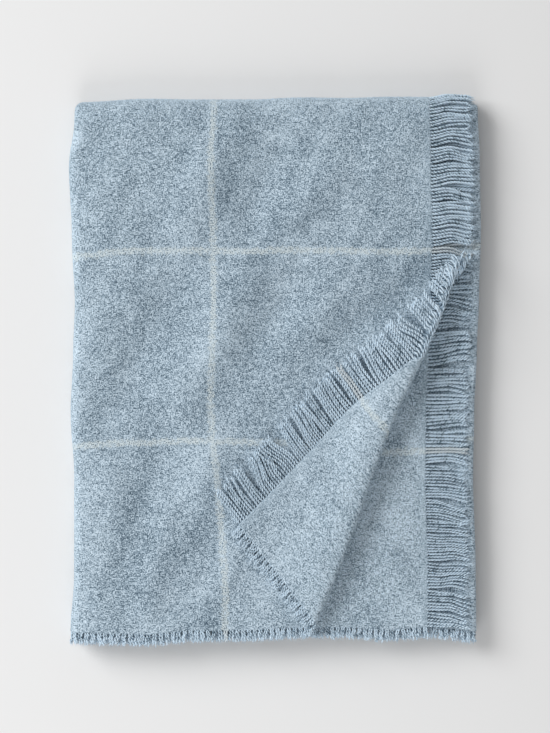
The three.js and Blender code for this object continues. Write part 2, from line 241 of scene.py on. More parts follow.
def lying_flat(a, b):
    """The cloth folded in four and in two. Its top end is drawn to the right at the front."""
    drawn = SKEW_AMOUNT * (1 - eased(b / SKEW_REACH))
    share = np.where(a < OUTER_RUN, 1 - np.clip(a / OUTER_RUN, 0, None) ** 3, 0)
    across, up = folded_in_four(a - drawn * share)
    radius = 2 * LAYER_PITCH + up
    angle = math.pi * np.clip((b - HALF_DEPTH) / BACK_TURN, 0, 1)
    before = np.minimum(b - HALF_DEPTH, 0)
    after = np.maximum(b - HALF_DEPTH - BACK_TURN, 0)
    deep = BACK_AXIS + radius * np.sin(angle) + before - after
    return np.stack([across, deep, STACK_MIDDLE + radius * np.cos(angle)], axis=-1)


def lying_on_flap(a, b):
    front, end = heading(FLAP_FRONT_HEADING), heading(FLAP_END_HEADING)
    bow = FLAP_BOW["amount"] * np.exp(-((b - FLAP_BOW["b"]) / FLAP_BOW["spread"]) ** 2)
    bowed = a - bow * np.exp(-np.clip(a, 0, None) / FLAP_BOW["reach"])
    return np.array(FLAP_CORNER) + bowed[:, None] * front + b[:, None] * end


def with_corner_turned(a, b):
    """The middle of the cloth's thickness after every fold, before the stack's unevenness."""
    fold = np.array([-FOLD_ON_FRONT, FOLD_ON_END]) / math.hypot(FOLD_ON_FRONT, FOLD_ON_END)
    along = (a - FOLD_ON_FRONT) * fold[0] + b * fold[1]
    past = -(a - FOLD_ON_FRONT) * fold[1] + b * fold[0]
    radius = np.interp(along, [r["along"] for r in FLAP_ROLL], [r["radius"] for r in FLAP_ROLL])
    half_band = math.pi * radius / 2
    points = lying_flat(a, b)
    on_top = (a <= OUTER_RUN) & (b <= HALF_DEPTH)

    flap = on_top & (past > half_band)
    settled = (past[flap] - half_band[flap]) / FLAP_SETTLING
    extra = (2 * radius[flap] - FLAP_REST_HEIGHT) * (1 + settled) * np.exp(-settled)
    points[flap, :2] = lying_on_flap(a[flap], b[flap])
    points[flap, 2] = TOP_LAYER + FLAP_REST_HEIGHT + extra
    drawn_in = ROLL_DRAWN_IN["amount"] * eased((along - ROLL_DRAWN_IN["from"]) / ROLL_DRAWN_IN["over"])
    points[flap, 0] -= drawn_in[flap]

    roll = on_top & (np.abs(past) <= half_band)
    before = past[roll] + half_band[roll]
    after = past[roll] - half_band[roll]
    start = lying_flat(a[roll] + before * fold[1], b[roll] - before * fold[0])[:, :2]
    finish = lying_on_flap(a[roll] + after * fold[1], b[roll] - after * fold[0])
    share = (before / (2 * half_band[roll]))[:, None]
    leaning = share ** ROLL_OVERHANG
    fullness = np.sin(math.pi * leaning) ** np.where(leaning < 0.5, ROLL_UNDERCUT, ROLL_SQUARENESS)
    bulge = radius[roll][:, None] * fullness * heading(FLAP_OUTWARD_HEADING)
    points[roll, :2] = start + share * (finish - start) + bulge
    points[roll, 0] -= drawn_in[roll] * eased(2 * share[:, 0])
    turned = np.cos(math.pi * share[:, 0])
    turned = np.sign(turned) * np.abs(turned) ** ROLL_SQUARENESS
    points[roll, 2] = TOP_LAYER + radius[roll] * (1 - turned)
    return points


def raised_by(creases, x, y):
    height = np.zeros_like(x)
    for crease in creases:
        c, s = heading(crease["heading"])
        along = ((x - crease["x"]) * c + (y - crease["y"]) * s) / crease["length"]
        across = ((y - crease["y"]) * c - (x - crease["x"]) * s) / crease["width"]
        height += crease["height"] * np.exp(-along ** 2 - across ** 2)
    return height


def crease_height(x, y):
    height = raised_by(CREASES, x, y)
    for ripple in UNEVENNESS:
        c, s = heading(ripple["heading"])
        turn = 2 * math.pi * (x * c + y * s) / ripple["wave"] + ripple["phase"]
        drift = WAVE_DRIFT["amount"] * np.sin(turn * WAVE_DRIFT["pace"])
        height += ripple["height"] * np.sin(turn + drift)
    return height


def drawn_forward(a, b):
    amount = np.zeros_like(b)
    for draw in DRAWS:
        near = np.exp(-((a - draw["a"]) / draw["reach"]) ** 2 - ((b - draw["b"]) / draw["spread"]) ** 2)
        amount += draw["amount"] * near
    return b - amount


def middle_of_cloth(a, b):
    points = with_corner_turned(a, drawn_forward(a, b))
    x, y, z = points.T
    to_right = (x - LEFT_AXIS) / (RIGHT_AXIS - LEFT_AXIS)
    to_back = (y - STACK_FRONT) / (BACK_AXIS - STACK_FRONT)
    left, right = (between_rows(SIDES, "y", y, side) for side in ("left", "right"))
    front, back = (between_rows(ENDS, "x", x, end) for end in ("front", "back"))
    raised = np.clip((z - FLAT_BELOW) / (TOP_LAYER - FLAT_BELOW), 0, None)
    droop = LEFT_DROOP * np.clip(1 - (x - STACK_LEFT) / LEFT_DROOP_REACH, 0, 1) ** 2
    droop = droop + BACK_DROOP * np.clip(1 - (STACK_BACK - y) / BACK_DROOP_REACH, 0, 1) ** 2
    on_flap = eased((z - TOP_LAYER) / FLAP_CREASE_FROM)
    return np.stack([
        x + left + to_right * (right - left),
        y + front + to_back * (back - front),
        z + raised * (crease_height(x, y) - droop) + on_flap * raised_by(FLAP_CREASES, x, y),
    ], axis=-1)


def folded_up(a, b, offset):
    """Where points of the flat cloth lie once it is folded, in metres. An offset is off the middle
    of the thickness and positive on the cloth's face."""
    step = 0.1
    over_width = middle_of_cloth(a, b + step) - middle_of_cloth(a, b - step)
    over_length = middle_of_cloth(a + step, b) - middle_of_cloth(a - step, b)
    out = np.cross(over_width, over_length)
    out /= np.linalg.norm(out, axis=1)[:, None]
    points = middle_of_cloth(a, b) + out * offset[:, None]
    points[:, 2] = np.maximum(points[:, 2], 0)
    return (points - np.array(FOOTPRINT_MIDDLE)) * MM


def points_of(mesh):
    points = np.zeros(len(mesh.vertices) * 3)
    mesh.vertices.foreach_get("co", points)
    return points.reshape(-1, 3)


def folded_piece(name, mesh, a, b, offset, marks):
    """Folds a mesh modelled on the flat cloth and keeps where it was there as its UV map. Each of
    the marks becomes an attribute. Folding turns the mesh inside out, so its faces are flipped."""
    uv = mesh.uv_layers.new(name="weave")
    corner = np.zeros(len(mesh.loops), int)
    mesh.loops.foreach_get("vertex_index", corner)
    uv.data.foreach_set("uv", (np.stack([a, b], axis=-1)[corner] * MM).ravel())
    for mark, values in marks.items():
        mesh.attributes.new(mark, "FLOAT", "POINT").data.foreach_set("value", values)
    mesh.vertices.foreach_set("co", folded_up(a, b, offset).ravel())
    mesh.flip_normals()
    mesh.shade_smooth()
    mesh.update()
    piece = bpy.data.objects.new(name, mesh)
    bpy.context.scene.collection.objects.link(piece)
    return piece


# The spacing of the cloth's grid: fine on the top layer, in the folds and at the edges.
EDGE_LINES = [0.0, 0.7, 2.0]
LEAST_LINE_GAP = 0.4
RUN_SPACING = [4.2, 2.3, 21.0, 1.3, 21.0, 1.3, 7.5]
TOP_SPACING, BACK_SPACING, UNDERSIDE_SPACING = 4.3, 3.8, 16.0


def grid_lines(stretches, end):
    lines = list(EDGE_LINES)
    for begin, length, spacing in stretches:
        lines += list(np.linspace(begin, begin + length, round(length / spacing), endpoint=False))
    lines += [end - line for line in EDGE_LINES]
    lines = sorted(line for line in lines if 0 <= line <= end)
    kept = [line for line, after in zip(lines, lines[1:]) if after - line > LEAST_LINE_GAP]
    return np.array(kept + [end])


LENGTH_LINES = grid_lines(
    [(run["begin"], run["length"], spacing) for run, spacing in zip(RUNS, RUN_SPACING)], CLOTH_LENGTH)
WIDTH_LINES = grid_lines([
    (0, HALF_DEPTH, TOP_SPACING),
    (HALF_DEPTH, BACK_TURN, BACK_SPACING),
    (HALF_DEPTH + BACK_TURN, HALF_DEPTH, UNDERSIDE_SPACING),
], CLOTH_WIDTH)


def woven_sheet():
    """The flat cloth as one closed sheet, its grid one unit wide, long and thick."""
    sheet = bmesh.new()
    bmesh.ops.create_grid(
        sheet, x_segments=len(LENGTH_LINES) - 1, y_segments=len(WIDTH_LINES) - 1, size=0.5)
    raised = bmesh.ops.extrude_face_region(sheet, geom=sheet.faces[:])["geom"]
    upper = [part for part in raised if isinstance(part, bmesh.types.BMVert)]
    bmesh.ops.translate(sheet, verts=upper, vec=(0.5, 0.5, 1))
    lower = list(set(sheet.verts) - set(upper))
    bmesh.ops.translate(sheet, verts=lower, vec=(0.5, 0.5, 0))
    bmesh.ops.recalc_face_normals(sheet, faces=sheet.faces[:])
    mesh = bpy.data.meshes.new("blanket_cloth")
    sheet.to_mesh(mesh)
    sheet.free()
    return mesh


def edge_fullness(a, b, rounding=2.0, least=0.3):
    """How thick the cloth is near its edges, as a share: the weave thins out over the last yarns."""
    inside = np.minimum(np.minimum(a, CLOTH_LENGTH - a), np.minimum(b, CLOTH_WIDTH - b))
    share = np.clip(inside / rounding, 0, 1)
    return least + (1 - least) * np.sqrt(1 - (1 - share) ** 2)


cloth_mesh = woven_sheet()
flat_x, flat_y, face_side = points_of(cloth_mesh).T
cloth_a = np.interp(flat_x, np.linspace(0, 1, len(LENGTH_LINES)), LENGTH_LINES)
cloth_b = np.interp(flat_y, np.linspace(0, 1, len(WIDTH_LINES)), WIDTH_LINES)
cloth_offset = (face_side - 0.5) * CLOTH_THICKNESS * edge_fullness(cloth_a, cloth_b)
fold_x, fold_y, _ = middle_of_cloth(cloth_a, cloth_b).T
# Painted light: the cloth is painted paler near its left, back and right folds. This is partly raised
# nap, and partly painted sheen on the rounded edges and painted light on the right fold, which lies in
# shade.
into_folds = np.stack([
    (fold_x - STACK_LEFT) / FOLD_LIGHT_AND_NAP_REACH["left"],
    (STACK_BACK - fold_y) / FOLD_LIGHT_AND_NAP_REACH["back"],
    (STACK_RIGHT + FOLD_LIGHT_AND_NAP_REACH["past_right"] - fold_x) / FOLD_LIGHT_AND_NAP_REACH["right"],
])
nap_and_painted_light_at_folds = np.exp(-into_folds ** 2).max(axis=0)
blanket_cloth = folded_piece(
    "folded_cloth", cloth_mesh, cloth_a, cloth_b, cloth_offset,
    {"face_side": face_side, "fold_light_and_nap": nap_and_painted_light_at_folds})

CHECK_SPACING = (0.254, 0.2235)
CHECK_YARN_OFF_CENTRE = 0.0013
CHECK_YARN_HALF_WIDTH = 0.0031
CHECK_FUZZ = {"swing": 0.012, "least": -0.0065}
CHECK_WEAR = {"contrast": 4.5, "least": -1.65}
SMOOTH_BAND = 0.010
BRUSHED_AT = math.radians(62)

# How much each kind of noise swings the wool's tone. Within SMOOTH_BAND of the fringed ends the
# swings shrink, to LEAST_MOTTLE of themselves at the last.
CLOTH_SWINGS = {"flecks": 3.7, "threads": 1.1, "tufts": 1.0, "clouds": 0.55, "brushing": 0.7}
LEAST_MOTTLE = 0.6
MIDDLE_TONE = 0.5
PALER_REVERSE = 0.09
# How much paler the folds are painted: partly raised nap, partly painted sheen and painted light.
PAINTED_LIGHT_AND_NAP_AT_FOLDS = 0.16
CLOTH_BUMP = {"Strength": 0.6, "Distance": 0.0012}
THREADS_IN_BUMP = 0.5
HEATHER = [
    {"at": 0.00, "colour": (0.065, 0.106, 0.145)},
    {"at": 0.30, "colour": (0.212, 0.286, 0.352)},
    {"at": 0.50, "colour": (0.327, 0.421, 0.500)},
    {"at": 0.70, "colour": (0.450, 0.558, 0.645)},
    {"at": 1.00, "colour": (0.640, 0.760, 0.860)},
]
CREAM = (0.67, 0.75, 0.77)
CREAM_YARN = (0.66, 0.71, 0.73)


def new_finish(name, roughness, sheen):
    """A matt fibre material. Returns it with its shader node."""
    finish = bpy.data.materials.new(name)
    finish.use_nodes = True
    shader = finish.node_tree.nodes["Principled BSDF"]
    shader.inputs["Roughness"].default_value = roughness
    shader.inputs["Specular IOR Level"].default_value = 0.15
    shader.inputs["Sheen Weight"].default_value = sheen
    shader.inputs["Sheen Roughness"].default_value = 0.45
    shader.inputs["Sheen Tint"].default_value = (0.70, 0.87, 1.0, 1)
    return finish, shader


def add_node(finish, kind, inputs, **settings):
    """Adds a node whose sockets are given as plain values or as the sockets that feed them."""
    node = finish.node_tree.nodes.new(kind)
    for setting, value in settings.items():
        setattr(node, setting, value)
    for socket, value in inputs.items():
        if isinstance(value, bpy.types.NodeSocket):
            finish.node_tree.links.new(value, node.inputs[socket])
        else:
            node.inputs[socket].default_value = value
    return node


def reckon(finish, operation, *values):
    """One step of arithmetic on sockets and numbers, kept between 0 and 1 if it ends in _CLAMPED."""
    clamped = operation.endswith("_CLAMPED")
    inputs = dict(enumerate(values))
    node = add_node(finish, "ShaderNodeMath", inputs,
                    operation=operation.removesuffix("_CLAMPED"), use_clamp=clamped)
    return node.outputs[0]


def stretched_noise(finish, place, scale, detail, roughness=0.6):
    """Noise with features of one over `scale` metres, which may differ along and across."""
    spread = add_node(finish, "ShaderNodeVectorMath", {0: place, 1: scale}, operation="MULTIPLY")
    noise = add_node(finish, "ShaderNodeTexNoise", {
        "Vector": spread.outputs[0], "Scale": 1.0, "Detail": detail, "Roughness": roughness})
    return noise.outputs["Fac"]


def swung(finish, noise, swing, middle=0.5):
    """Noise stretched to swing this much in all, evenly above and below nought."""
    return reckon(finish, "MULTIPLY_ADD", noise, swing, -swing * middle)


def colour_ramp(finish, factor, steps):
    ramp = add_node(finish, "ShaderNodeValToRGB", {"Fac": factor})
    elements = ramp.color_ramp.elements
    while len(elements) < len(steps):
        elements.new(0.5)
    for element, step in zip(elements, steps):
        element.position = step["at"]
        element.color = (*step["colour"], 1)
    return ramp.outputs["Color"]


def mixed_colour(finish, factor, under, over):
    mix = add_node(finish, "ShaderNodeMix", {0: factor, 6: under, 7: over}, data_type="RGBA")
    return mix.outputs[2]


def check_line(finish, place, spacing, end, fuzz):
    """How much of one set of cream check lines shows, from a distance along or across the cloth in
    metres. The fuzz makes a line's edges uneven."""
    centred = reckon(finish, "PINGPONG", reckon(finish, "ADD", place, spacing / 2), spacing / 2)
    centred = reckon(finish, "SUBTRACT", spacing / 2, centred)
    off_yarn = reckon(finish, "ABSOLUTE", reckon(finish, "SUBTRACT", centred, CHECK_YARN_OFF_CENTRE))
    edge = reckon(finish, "ADD", off_yarn, fuzz)
    faded = reckon(finish, "DIVIDE", edge, CHECK_YARN_HALF_WIDTH)
    shown = reckon(finish, "SUBTRACT_CLAMPED", 1.0, faded)
    inside = reckon(finish, "GREATER_THAN", place, spacing / 2)
    before_end = reckon(finish, "LESS_THAN", place, end - spacing / 2)
    return reckon(finish, "MULTIPLY", shown, reckon(finish, "MULTIPLY", inside, before_end))


def heathered_cloth():
    finish, shader = new_finish("brushed_blue_heather", 0.92, 0.7)
    weave = add_node(finish, "ShaderNodeUVMap", {}, uv_map="weave").outputs[0]
    side = add_node(finish, "ShaderNodeAttribute", {}, attribute_name="face_side").outputs["Fac"]
    fold_light_and_nap = add_node(finish, "ShaderNodeAttribute", {}, attribute_name="fold_light_and_nap").outputs["Fac"]
    parts = add_node(finish, "ShaderNodeSeparateXYZ", {0: weave})
    along, across = parts.outputs[0], parts.outputs[1]
    place = add_node(finish, "ShaderNodeCombineXYZ", {0: along, 1: across, 2: side}).outputs[0]

    flecks = stretched_noise(finish, place, (640, 640, 3), 2.0, 0.7)
    warp_flecks = stretched_noise(finish, place, (260, 900, 5), 2.0)
    weft_flecks = stretched_noise(finish, place, (900, 260, 7), 2.0)
    tufts = stretched_noise(finish, place, (210, 210, 4), 1.0)
    clouds = stretched_noise(finish, place, (58, 58, 2), 2.0, 0.5)
    slanted = add_node(finish, "ShaderNodeVectorRotate", {"Vector": place, "Angle": BRUSHED_AT},
                       rotation_type="Z_AXIS").outputs[0]
    brushing = stretched_noise(finish, slanted, (7, 22, 2), 2.0, 0.5)
    threads = reckon(finish, "ADD", warp_flecks, weft_flecks)

    from_end = reckon(finish, "MINIMUM", along, reckon(finish, "SUBTRACT", CLOTH_LENGTH * MM, along))
    open_weave = reckon(finish, "DIVIDE", from_end, SMOOTH_BAND)
    mottle = reckon(finish, "MINIMUM", reckon(finish, "MAXIMUM", open_weave, LEAST_MOTTLE), 1.0)

    tone = swung(finish, flecks, CLOTH_SWINGS["flecks"])
    tone = reckon(finish, "ADD", tone, swung(finish, threads, CLOTH_SWINGS["threads"], middle=1.0))
    for kind, noise in (("tufts", tufts), ("clouds", clouds), ("brushing", brushing)):
        tone = reckon(finish, "ADD", tone, swung(finish, noise, CLOTH_SWINGS[kind]))
    tone = reckon(finish, "MULTIPLY_ADD", tone, mottle, MIDDLE_TONE)
    tone = reckon(
        finish, "ADD", tone, reckon(finish, "MULTIPLY_ADD", side, -PALER_REVERSE, PALER_REVERSE))
    # Painted light: the folds are painted paler, partly for raised nap, partly as painted sheen and
    # light.
    tone = reckon(finish, "ADD_CLAMPED", tone, reckon(finish, "MULTIPLY", fold_light_and_nap, PAINTED_LIGHT_AND_NAP_AT_FOLDS))
    colour = colour_ramp(finish, tone, HEATHER)

    fuzz = reckon(finish, "MULTIPLY_ADD", tufts, CHECK_FUZZ["swing"], CHECK_FUZZ["least"])
    lengthwise = check_line(finish, across, CHECK_SPACING[1], CLOTH_WIDTH * MM, fuzz)
    crosswise = check_line(finish, along, CHECK_SPACING[0], CLOTH_LENGTH * MM, fuzz)
    lines = reckon(finish, "MAXIMUM", lengthwise, crosswise)
    worn = reckon(
        finish, "MULTIPLY_ADD_CLAMPED", flecks, CHECK_WEAR["contrast"], CHECK_WEAR["least"])
    colour = mixed_colour(finish, reckon(finish, "MULTIPLY", lines, worn), colour, (*CREAM, 1))
    finish.node_tree.links.new(colour, shader.inputs["Base Color"])

    nap = reckon(finish, "ADD", flecks, reckon(finish, "MULTIPLY", threads, THREADS_IN_BUMP))
    bump = add_node(finish, "ShaderNodeBump", {**CLOTH_BUMP, "Height": nap})
    finish.node_tree.links.new(bump.outputs[0], shader.inputs["Normal"])
    return finish


cloth_finish = heathered_cloth()
blanket_cloth.data.materials.append(cloth_finish)
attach(blanket_cloth, "root")
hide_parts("blanket_cloth")


# The long fringe
# At both ends the warp yarns lie free for about 54 mm, with the loose fibres at their tips. Each
# is a soft two-ply twist held by the weave. They lie side by side and fall in loose bundles.
YARN_PITCH = 3.86
LONG_YARN_COUNT = round(CLOTH_WIDTH / YARN_PITCH)
LONG_YARN = {
    "length": 50.0, "uneven": 3.0, "sides": 3, "off_axis": 0.90, "girth": 1.0, "half_turns": 13,
    "rings": 40,
}
LONG_WISP = {
    "count": 5, "length": 8.0, "girth": 0.32, "rings": 2, "leaves": (0.80, 0.97), "aside": 2.6,
    "rise": 0.3, "rise_spread": 1.3, "uneven": (0.6, 1.3),
}
WISP_TAPER = 0.85
WISP_CURL = 1.5
ROOT_IN_CLOTH = 1.5

# How far out the painted shade in the groove between the plies reaches, as a share of a ply's girth,
# and where the painted shade on the yarn's side is fully dark, as a share of its half width.
GROOVE_SHADE_REACH = 0.6
SIDE_SHADE_REACH = 0.9

# Which yarns are cream: those within this many pitches of a check line, but none this near an end.
CREAM_YARNS = {"reach": 1.2, "from_ends": 2}

# A bundle is a few yarns that lean and lift together. Besides, the whole row sways, and each yarn
# goes a little its own way.
BUNDLE = {"least": 4, "most": 10, "gather": 0.08, "at_tip": 0.8, "lean": 3.4, "lift": 1.4}
SWAY = {"amount": 7.0, "yarns": 9}
OWN_WAY = {"sway": 0.6, "bow": 0.4, "lift": 0.5}

# Stretches of a yarn, as shares of its length, over which it bends, hooks, droops, fluffs and tapers.
BEND = {"from": 0.22, "over": 0.70}
HOOK = {"from": 0.86, "over": 0.14, "amount": 1.8}
DROOP = {"from": 0.10, "over": 0.90, "amount": 3.0}
FLUFF = {"from": 0.80, "over": 0.10, "amount": 0.22}
TAPER = {"from": 0.93, "over": 0.07, "amount": 0.75}


def spun_strand(yarn, sides, off_axis, girth, half_turns, rings):
    """Adds a closed strand one unit long: a ring spun round the yarn's axis as it rises. Returns
    how many points the yarn has so far."""
    beside = Matrix.Translation((off_axis, 0, 0))
    ring = bmesh.ops.create_circle(
        yarn, segments=sides, radius=girth, cap_ends=True, matrix=beside)["verts"]
    loop = list({edge for point in ring for edge in point.link_edges})
    spun = bmesh.ops.spin(
        yarn, geom=ring + loop, cent=(0, 0, 0), axis=(0, 0, 1), dvec=(0, 0, 1 / rings),
        angle=half_turns * math.pi, steps=rings, use_duplicate=False)
    tip = [part for part in spun["geom_last"] if isinstance(part, bmesh.types.BMEdge)]
    bmesh.ops.edgeloop_fill(yarn, edges=tip)
    return len(yarn.verts)


def yarn_with_wisps(yarn_shape, wisp_shape):
    """Two plies twisted into one yarn and the loose fibres at its tip, as a mesh, with the number
    of the part that each point belongs to: 0 for the plies."""
    shape = bmesh.new()
    for side in (-1, 1):
        plies = spun_strand(shape, yarn_shape["sides"], side * yarn_shape["off_axis"],
                            yarn_shape["girth"], yarn_shape["half_turns"], yarn_shape["rings"])
    counts = [plies]
    for _ in range(wisp_shape["count"]):
        counts.append(spun_strand(shape, 3, 0, wisp_shape["girth"], 0, wisp_shape["rings"]))
    bmesh.ops.recalc_face_normals(shape, faces=shape.faces[:])
    mesh = bpy.data.meshes.new("one_yarn")
    shape.to_mesh(mesh)
    shape.free()
    part = np.repeat(np.arange(len(counts)), np.diff([0] + counts))
    return mesh, part


def row_of(mesh, count, name):
    """Many copies of a mesh in one, each copy's points after those of the one before."""
    first = bpy.data.objects.new(name, mesh)
    bpy.context.scene.collection.objects.link(first)
    copies = first.modifiers.new("copies", "ARRAY")
    copies.count = count
    copies.use_relative_offset = False
    with_copies = first.evaluated_get(bpy.context.evaluated_depsgraph_get())
    joined = bpy.data.meshes.new_from_object(with_copies)
    bpy.data.objects.remove(first)
    joined.name = name
    return joined


def bundled(places, rng, bundle):
    """For each yarn, how far it is drawn towards the middle of its bundle, how far the bundle's tip
    leans along the edge and how far it lies over its neighbours."""
    inward, lean, over = np.zeros((3, len(places)))
    first = 0
    while first < len(places):
        last = min(first + int(rng.integers(bundle["least"], bundle["most"] + 1)), len(places))
        inward[first:last] = bundle["gather"] * (places[first:last].mean() - places[first:last])
        lean[first:last] = rng.normal(0, bundle["lean"])
        over[first:last] = rng.normal(0, bundle["lift"])
        first = last
    return inward, lean, over


def grown(along, stretch):
    """From 0 where a stretch of the yarn begins to 1 where it ends."""
    return eased((along - stretch["from"]) / stretch["over"])


def loose_tips(rng, count, part, wisp):
    """Where each loose fibre leaves its yarn, and how far it strays along the edge and up."""
    fibres = (count, wisp["count"] + 1)
    leaves = rng.uniform(*wisp["leaves"], fibres)[:, part]
    aside = rng.normal(0, wisp["aside"], fibres)[:, part]
    rise = rng.normal(wisp["rise"], wisp["rise_spread"], fibres)[:, part]
    return leaves, aside, rise


def laid_section(across, thick, rise, roll, is_wisp, yarn_girth):
    """The strand's section, rolled about its axis and thinned towards the tip: along the edge, up."""
    turned = roll[:, None] * ~is_wisp
    girth = np.where(is_wisp, 1 - WISP_TAPER * rise, yarn_girth)
    return ((across * np.cos(turned) - thick * np.sin(turned)) * girth,
            (across * np.sin(turned) + thick * np.cos(turned)) * girth)


def groove_shade_depth(across, thick, yarn):
    """How deep a point lies between the two plies, from 0 on the outside to 1 on the axis. It sets the
    painted shade in the groove.
    """
    outermost = yarn["off_axis"] + GROOVE_SHADE_REACH * yarn["girth"]
    return 1 - np.clip(np.hypot(across, thick) / outermost, 0, 1)


def yarn_side_shade(section_s, yarn):
    """How far a point is round to the yarn's sides, from 0 on its crown or underside to 1. It sets the
    painted shade on the sides, between neighbouring yarns.
    """
    half = yarn["off_axis"] + yarn["girth"]
    return np.clip(np.abs(section_s) / (SIDE_SHADE_REACH * half), 0, 1) ** 2


def on_check_line(place, end, spacing, pitch, cream):
    """Which yarns carry on a cream line of the check."""
    from_line = np.abs(place - spacing * np.round(place / spacing))
    nearest = pitch * cream["from_ends"]
    return (from_line < pitch * cream["reach"]) & (place > nearest) & (place < end - nearest)


def yarn_marks(shade, cream, along, painted_groove_shade, side):
    """The marks that the yarn's finish reads. One value for a yarn goes to all its points."""
    marks = {
        "shade": shade[:, None], "cream": cream[:, None].astype(float), "tip": along,
        "painted_groove_shade": painted_groove_shade, "side": side,
    }
    return {mark: np.broadcast_to(values, along.shape).ravel() for mark, values in marks.items()}


def long_fringe(name, past_edge, down, seed):
    rng = np.random.default_rng(seed)
    yarn_mesh, part = yarn_with_wisps(LONG_YARN, LONG_WISP)
    count = LONG_YARN_COUNT
    mesh = row_of(yarn_mesh, count, name)
    across, thick, rise = np.broadcast_to(points_of(yarn_mesh).T[:, None], (3, count, len(part)))
    is_wisp = part > 0

    place = (np.arange(count) + 0.5) * CLOTH_WIDTH / count
    reach = LONG_YARN["length"] + LONG_YARN["uneven"] * rng.uniform(-1, 1, count)
    inward, lean, over = bundled(place, rng, BUNDLE)
    pushes = rng.normal(0, 1, count + SWAY["yarns"] - 1)
    sway = np.convolve(pushes, np.ones(SWAY["yarns"]) / SWAY["yarns"], mode="valid") * SWAY["amount"]
    own_sway = rng.normal(0, OWN_WAY["sway"], count)
    own_bow = rng.normal(0, OWN_WAY["bow"], count)
    hook = rng.normal(0, HOOK["amount"], count)
    lift = over + rng.normal(0, OWN_WAY["lift"], count)
    roll = rng.uniform(0, 2 * math.pi, count)

    wisp_start, wisp_side, wisp_rise = loose_tips(rng, count, part, LONG_WISP)
    stretched = rng.uniform(*LONG_WISP["uneven"], (count, LONG_WISP["count"] + 1))[:, part]
    wisp_length = stretched * LONG_WISP["length"]
    along = np.where(is_wisp, wisp_start + rise * wisp_length / reach[:, None], rise)
    yarn_girth = 1 + FLUFF["amount"] * grown(rise, FLUFF) - TAPER["amount"] * grown(rise, TAPER)
    section_s, section_up = laid_section(across, thick, rise, roll, is_wisp, yarn_girth)

    bend = grown(along, BEND)
    hooked = np.clip((along - HOOK["from"]) / HOOK["over"], 0, None) ** 2
    bowed = np.sin(math.pi * np.clip(along, 0, 1))
    s = place[:, None] + lean[:, None] * bend + sway[:, None] * bend ** 2
    s = s + inward[:, None] * (bowed + BUNDLE["at_tip"] * bend) + own_bow[:, None] * bowed
    s = s + own_sway[:, None] * bend + hook[:, None] * hooked + section_s
    s = s + np.where(is_wisp, wisp_side * rise ** WISP_CURL, 0)
    up = lift[:, None] * bend + section_up + np.where(is_wisp, wisp_rise * rise ** WISP_CURL, 0)
    up = up + down * DROOP["amount"] * grown(along, DROOP)
    out = reach[:, None] * along - ROOT_IN_CLOTH

    cream = on_check_line(place, CLOTH_WIDTH, CHECK_SPACING[1] / MM, YARN_PITCH, CREAM_YARNS)
    # Painted shade in the groove between the plies.
    painted_groove_shade = groove_shade_depth(across, thick, LONG_YARN) * ~is_wisp
    # Painted shade on the yarn's sides, between neighbouring yarns.
    side = np.where(is_wisp, 0, yarn_side_shade(section_s, LONG_YARN))
    shade = rng.uniform(0, 1, count)
    marks = yarn_marks(shade, cream, along, painted_groove_shade, side)
    return folded_piece(name, mesh, past_edge(out).ravel(), s.ravel(), up.ravel(), marks)


# How much each kind of noise and mark changes the yarn's tone, round a pale middle tone. The groove
# and side marks are painted shade: darker between the plies and on the yarn's sides, between yarns.
YARN_TONE = {
    "flecks": 3.8, "patches": 2.2, "shade": 0.5, "painted_groove_shade": -1.3, "side": -1.2, "tip": 0.5,
    "middle": 1.60,
}
WORN_TOWARDS_TIP = 6.0
YARN_SATURATION = 1.08
CREAM_SHOWS = 0.75
YARN_BUMP = {"Strength": 0.5, "Distance": 0.0006}


def twisted_yarn_finish():
    finish, shader = new_finish("twisted_blue_yarn", 0.9, 0.3)
    weave = add_node(finish, "ShaderNodeUVMap", {}, uv_map="weave").outputs[0]
    marks = {
        mark: add_node(finish, "ShaderNodeAttribute", {}, attribute_name=mark).outputs["Fac"]
        for mark in ("shade", "cream", "tip", "painted_groove_shade", "side")
    }
    flecks = stretched_noise(finish, weave, (500, 500, 1), 3.0, 0.7)
    patches = stretched_noise(finish, weave, (110, 110, 1), 2.0, 0.6)
    tone = swung(finish, flecks, YARN_TONE["flecks"])
    for kind, noise in (("patches", patches), ("shade", marks["shade"])):
        tone = reckon(finish, "ADD", tone, swung(finish, noise, YARN_TONE[kind]))
    # Painted shade: darker in the groove between the plies and on the sides, between neighbouring
    # yarns.
    for mark in ("painted_groove_shade", "side"):
        darker = reckon(finish, "MULTIPLY", marks[mark], YARN_TONE[mark])
        tone = reckon(finish, "ADD", tone, darker)
    worn_tip = reckon(finish, "POWER", marks["tip"], WORN_TOWARDS_TIP)
    paler = reckon(finish, "MULTIPLY_ADD", worn_tip, YARN_TONE["tip"], YARN_TONE["middle"])
    tone = reckon(finish, "ADD_CLAMPED", tone, paler)

    blue = add_node(finish, "ShaderNodeHueSaturation", {
        "Color": colour_ramp(finish, tone, HEATHER), "Saturation": YARN_SATURATION}).outputs[0]
    cream = reckon(finish, "MULTIPLY", marks["cream"], CREAM_SHOWS)
    colour = mixed_colour(finish, cream, blue, (*CREAM_YARN, 1))
    finish.node_tree.links.new(colour, shader.inputs["Base Color"])
    bump = add_node(finish, "ShaderNodeBump", {**YARN_BUMP, "Height": flecks})
    finish.node_tree.links.new(bump.outputs[0], shader.inputs["Normal"])
    return finish


yarn_finish = twisted_yarn_finish()
outer_fringe = long_fringe("long_fringe_top_end", lambda out: -out, -1, 11)
inner_fringe = long_fringe("long_fringe_second_end", lambda out: CLOTH_LENGTH + out, 0.5, 12)
for fringe, node in ((outer_fringe, "long_fringe_outer"), (inner_fringe, "long_fringe_inner")):
    fringe.data.materials.append(yarn_finish)
    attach(fringe, "root")
    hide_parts(node)


